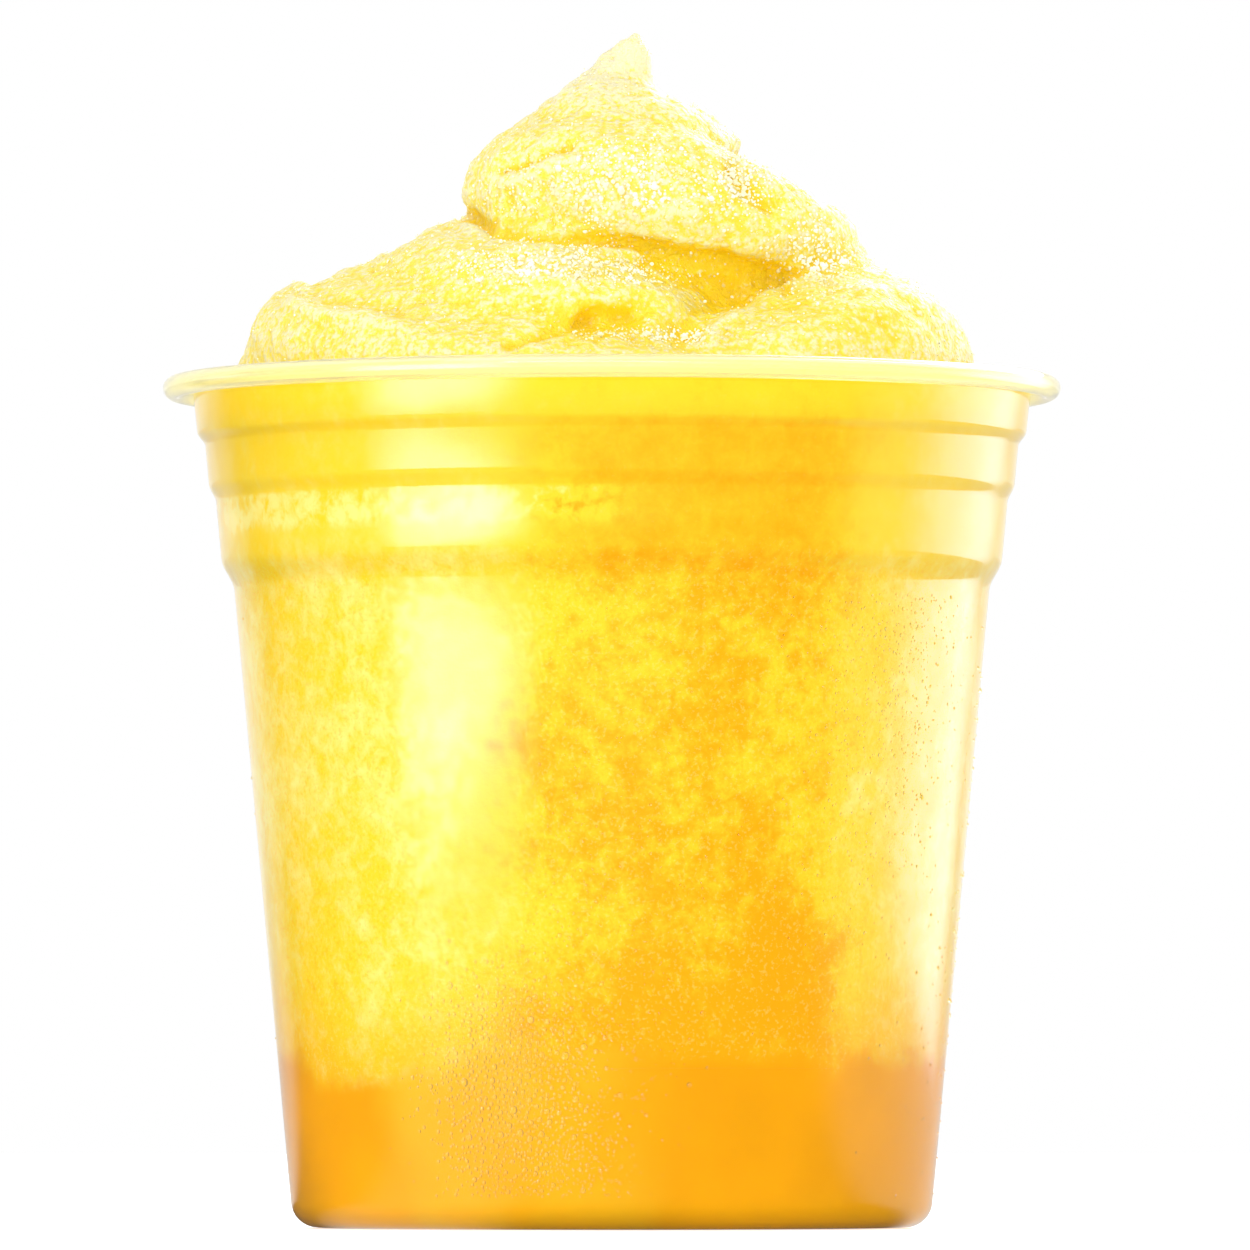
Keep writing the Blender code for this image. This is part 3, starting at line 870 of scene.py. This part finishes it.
class DRINK_OT_grains(bpy.types.Operator):
    """Scatter small faceted grains of ice over the swirl"""

    bl_idname = "drink.grains"
    bl_label = "Grains of ice"

    def execute(self, context):
        swirl = context.scene.drink_swirl
        surface = bpy.data.objects["piped_swirl"].data
        random = np.random.default_rng(11)
        count = len(surface.polygons)
        centres, normals = vectors(surface.polygons, "center"), vectors(surface.polygons, "normal")
        high_enough = centres[:, 2] > SWIRL_FOOT + 0.8 * MM
        open_air = high_enough * (0.35 + np.clip(normals[:, 2] + 0.4, 0, 1))
        chance = open_air / open_air.sum() * (1 - sum(band[-1] for band in ICE_AND_GLINT_BANDS))
        heaped = np.zeros(count)
        for x, z, half_width, half_height, share in ICE_AND_GLINT_BANDS:
            across = (centres[:, 0] / MM - x) / half_width
            up = (centres[:, 2] / MM - z) / half_height
            band = np.exp(-(across**2) - up**2) * high_enough * (centres[:, 1] < 0)
            chance += share * band / band.sum()
            heaped = np.maximum(heaped, band)
        chosen = random.choice(count, swirl.grains, replace=False, p=chance / chance.sum())
        places = centres[chosen] + random.normal(0, 0.15 * MM, (swirl.grains, 3))
        lean = normals[chosen] + random.normal(0, 0.5, (swirl.grains, 3))
        lean /= np.linalg.norm(lean, axis=1)[:, None]
        # Grains in the bands are larger
        sizes = swirl.grain_size * random.lognormal(0, 0.35, (swirl.grains, 1))
        sizes = sizes * random.uniform(0.55, 1.25, (swirl.grains, 3)) * (0.75 + 0.85 * heaped[chosen, None])
        turns = random.uniform(0, math.tau, swirl.grains)
        deselect_all()
        bpy.ops.mesh.primitive_ico_sphere_add(subdivisions=1, radius=1.0)
        template = bpy.context.object
        piece = scattered("ice_grains", template.data, places, lean, sizes, turns, 0.35)
        bpy.data.objects.remove(template)
        made, nodes, shader, _ = new_material("grain of ice")
        place = nodes.place()
        drink = context.scene.drink_contents
        cloud = nodes.noise(place, 160.0, 2.0)
        found = nodes.mix(nodes.ease(cloud, 0.4, 0.7), drink.ice, drink.cream)
        made.node_tree.links.new(found, shader.inputs["Base Color"])
        set_values(shader, {"Roughness": 0.12, "IOR": 1.4})
        dress(piece, made, "swirl")
        return {"FINISHED"}


class DRINK_OT_beads(bpy.types.Operator):
    """Scatter beads of water over the outside of the cup"""

    bl_idname = "drink.beads"
    bl_label = "Beads of water"

    def execute(self, context):
        cup = context.scene.drink_cup
        random = np.random.default_rng(5)
        drawn = []
        for angle, height, round_spread, up_spread, share, size in BEAD_PATCHES:
            count = int(cup.beads * share)
            spots = [random.normal(angle, round_spread, count), random.normal(height, up_spread, count)]
            drawn.append(np.column_stack([*spots, size * random.lognormal(0, 0.28, count)]))
        angles, heights, scales = np.concatenate(drawn).T
        kept = (heights > BEADS_LOW_MM) & (heights < BEADS_HIGH_MM)
        angles, heights, scales = np.radians(angles[kept]), heights[kept] * MM, scales[kept]
        radii = np.array([wall_radius(cup, z) for z in heights])
        places = np.column_stack([radii * np.cos(angles), radii * np.sin(angles), heights])
        normals = np.column_stack([np.cos(angles), np.sin(angles), np.full(len(angles), -cup.taper)])
        normals /= np.linalg.norm(normals, axis=1)[:, None]
        apart = self.spread_out(places, cup.bead_size * scales)
        angles, places, normals, scales = angles[apart], places[apart], normals[apart], scales[apart]
        sizes = cup.bead_size * scales[:, None] * np.array([[1.0, 1.0, 0.85]])
        turns = random.uniform(0, math.tau, len(angles))
        piece = scattered("water_beads", self.bead(), places, normals, sizes, turns, 0.12)
        piece.data.shade_smooth()
        water = clear_material("water", tuple(cup.water), roughness=0.02, clearness=1.0, index=1.37)
        dress(piece, water, "clear_plastic")
        return {"FINISHED"}

    def spread_out(self, places, radii):
        """Picks the beads that don't run into a larger one."""
        kept = []
        for bead in np.argsort(-radii):
            away = np.linalg.norm(places[kept] - places[bead], axis=1)
            if np.all(away > 0.95 * (radii[kept] + radii[bead])):
                kept.append(bead)
        return np.array(kept)

    def bead(self):
        """A small dome with a flat back, of radius 1."""
        deselect_all()
        bpy.ops.mesh.primitive_ico_sphere_add(subdivisions=2, radius=1.0)
        dome = bpy.context.object
        drop_below(dome, -0.05)
        modifier = dome.modifiers.new("triangles", "TRIANGULATE")
        modifier.quad_method = "BEAUTY"
        apply_modifiers(dome)
        mesh = dome.data
        bpy.data.objects.remove(dome)
        return mesh


class DRINK_OT_stage(bpy.types.Operator):
    """Set up the floor, the soft lights and the camera"""

    bl_idname = "drink.stage"
    bl_label = "Stage"

    def execute(self, context):
        stage = context.scene.drink_stage
        self.add_floor(stage)
        self.add_sky(stage)
        self.add_lights(stage)
        self.add_camera(stage)
        return {"FINISHED"}

    def add_floor(self, stage):
        deselect_all()
        bpy.ops.mesh.primitive_plane_add(size=6.0, location=(0, 0, -FLOOR_GAP))
        floor = bpy.context.object
        floor.name = "floor"
        made, nodes, shader, output = new_material("floor")
        for socket in ("Base Color", "Emission Color"):
            shader.inputs[socket].default_value = (*stage.floor, 1.0)
        set_values(shader, {"Roughness": 0.6, "Emission Strength": stage.floor_glow})
        # Mirrored in the cup, the floor is dark, as with a black card laid before it
        place = nodes.place()
        dark = nodes.ease(nodes.facing(place, -32), -0.4, -0.1)
        shine = nodes.minus(0.75, nodes.times(dark, 0.67))
        # The left panel goes on over the floor, weaker
        streak = nodes.times(nodes.ease(nodes.facing(place, -46), 0.86, 1.0), 0.5)
        card = nodes.add("ShaderNodeEmission", {"Strength": nodes.plus(shine, streak)})
        nodes.swap_for("Is Glossy Ray", shader, card, output)
        floor.data.materials.append(made)

    def add_sky(self, stage):
        sky = bpy.data.worlds.new("sky")
        sky.use_nodes = True
        nodes = Nodes(sky.node_tree)
        background = sky.node_tree.nodes["Background"]
        background.inputs["Color"].default_value = (1, 1, 1, 1)
        # Mirrored in the cup, the side towards the camera is darker than the rest of the studio
        towards = nodes.add("ShaderNodeTexCoord").outputs["Generated"]
        up = nodes.split(towards).outputs["Z"]
        dark = nodes.times(nodes.ease(nodes.facing(towards, -20), -0.25, 0.05), nodes.ease(up, 0.45, 0.15))
        mirrored = nodes.minus(1.0, nodes.times(dark, 0.92))
        path = nodes.add("ShaderNodeLightPath").outputs
        inputs = {0: path["Is Glossy Ray"], 2: stage.sky, 3: mirrored}
        strength = nodes.add("ShaderNodeMix", inputs).outputs[0]
        straight = nodes.math("MAXIMUM", path["Is Camera Ray"], path["Is Transmission Ray"])
        strength = nodes.add("ShaderNodeMix", {0: straight, 2: strength, 3: 1.0}).outputs[0]
        sky.node_tree.links.new(strength, background.inputs["Strength"])
        bpy.context.scene.world = sky

    def add_lights(self, stage):
        middle = (0, 0, 0.06)
        self.softbox("key", (-0.25, -0.45, 0.9), middle, (0.6, 0.6), stage.key)
        self.softbox("back", (0.3, 0.7, 0.5), (0, 0, 0.1), (0.5, 0.4), stage.key * 1.3)
        self.panel("left_panel", (-0.26, -0.25, 0.09), (0, 0, 0.07), (0.38, 0.36), stage.left)
        self.panel("high_panel", (-0.05, -0.6, 0.5), (0, 0, 0.09), (1.0, 0.16), stage.high)
        self.panel("right_panel", (0.29, 0.16, 0.09), (0, 0, 0.07), (0.42, 0.34), stage.right)
        self.softbox("fill", (-0.02, -0.9, 0.1), middle, (0.5, 0.4), stage.fill)
        self.softbox("left fill", (-0.9, -0.1, 0.1), middle, (0.5, 0.5), stage.fill * 0.1)
        self.softbox("right fill", (0.9, -0.1, 0.1), middle, (0.5, 0.5), stage.fill * 0.35)
        self.softbox("spark", (-0.35, -0.7, 0.6), (0, 0, 0.11), (0.05, 0.05), stage.key * 0.25)

    def softbox(self, name, place, target, size, watts):
        deselect_all()
        bpy.ops.object.light_add(type="AREA", location=place)
        lamp = bpy.context.object
        lamp.name = name
        lamp.data.shape = "RECTANGLE"
        lamp.data.size, lamp.data.size_y = size
        lamp.data.energy = watts
        lamp.rotation_euler = (Vector(target) - Vector(place)).to_track_quat("-Z", "Y").to_euler()
        lamp.visible_camera = False
        lamp.visible_glossy = "fill" not in name

    def panel(self, name, place, target, size, strength):
        """A bright panel with soft edges that shows only where something shiny mirrors it."""
        deselect_all()
        bpy.ops.mesh.primitive_plane_add(size=1.0, location=place)
        panel = bpy.context.object
        panel.name = name
        panel.scale = (*size, 1.0)
        panel.rotation_euler = (Vector(target) - Vector(place)).to_track_quat("-Z", "Y").to_euler()
        for ray in ("camera", "diffuse", "transmission", "volume_scatter", "shadow"):
            setattr(panel, f"visible_{ray}", False)
        made, nodes, shader, output = new_material(name)
        x, y, _ = nodes.split(nodes.place()).outputs
        across = nodes.ease(nodes.math("ABSOLUTE", x), 0.5, 0.1)
        up = nodes.ease(nodes.math("ABSOLUTE", y), 0.5, 0.2)
        shine = nodes.times(nodes.times(across, up), strength)
        glow = nodes.add("ShaderNodeEmission", {"Color": COOL_LIGHT, "Strength": shine})
        clear = nodes.add("ShaderNodeBsdfTransparent")
        glow = nodes.add("ShaderNodeAddShader", {0: glow.outputs[0], 1: clear.outputs[0]})
        made.node_tree.links.new(glow.outputs[0], output.inputs["Surface"])
        panel.data.materials.append(made)

    def add_camera(self, stage):
        place = Vector((stage.aside, -stage.distance, stage.eye_height))
        target = Vector((stage.aside, 0.0, stage.aim_height))
        bpy.ops.object.camera_add(location=place)
        camera = bpy.context.object
        camera.rotation_euler = (target - place).to_track_quat("-Z", "Y").to_euler()
        camera.data.lens = stage.lens
        camera.data.sensor_width = 36.0
        camera.data.clip_end = 20.0
        bpy.context.scene.camera = camera
        bpy.context.scene.view_settings.view_transform = "Standard"


class DRINK_PT_panel(bpy.types.Panel):
    """Sizes, colours and building steps of the drink"""

    bl_label = "Orange Slush Drink"
    bl_idname = "DRINK_PT_panel"
    bl_space_type = "VIEW_3D"
    bl_region_type = "UI"
    bl_category = "Drink"

    def draw(self, context):
        for step in STEPS:
            self.layout.operator(f"drink.{step}")
        for holder, group in SETTINGS.items():
            box = self.layout.box()
            for name in group.__annotations__:
                box.prop(getattr(context.scene, holder), name)


STEPS = ("cup", "contents", "swirl", "grains", "beads", "stage")
SETTINGS = {
    "drink_cup": CupSettings,
    "drink_contents": DrinkSettings,
    "drink_swirl": SwirlSettings,
    "drink_stage": StageSettings,
}
CLASSES = (
    *SETTINGS.values(),
    DRINK_OT_cup,
    DRINK_OT_contents,
    DRINK_OT_swirl,
    DRINK_OT_grains,
    DRINK_OT_beads,
    DRINK_OT_stage,
    DRINK_PT_panel,
)


def register():
    for made in CLASSES:
        bpy.utils.register_class(made)
    for holder, group in SETTINGS.items():
        setattr(bpy.types.Scene, holder, PointerProperty(type=group))


def unregister():
    for holder in SETTINGS:
        delattr(bpy.types.Scene, holder)
    for made in reversed(CLASSES):
        bpy.utils.unregister_class(made)


def main():
    register()
    for step in STEPS:
        getattr(bpy.ops.drink, step)()


if __name__ == "__main__":
    main()
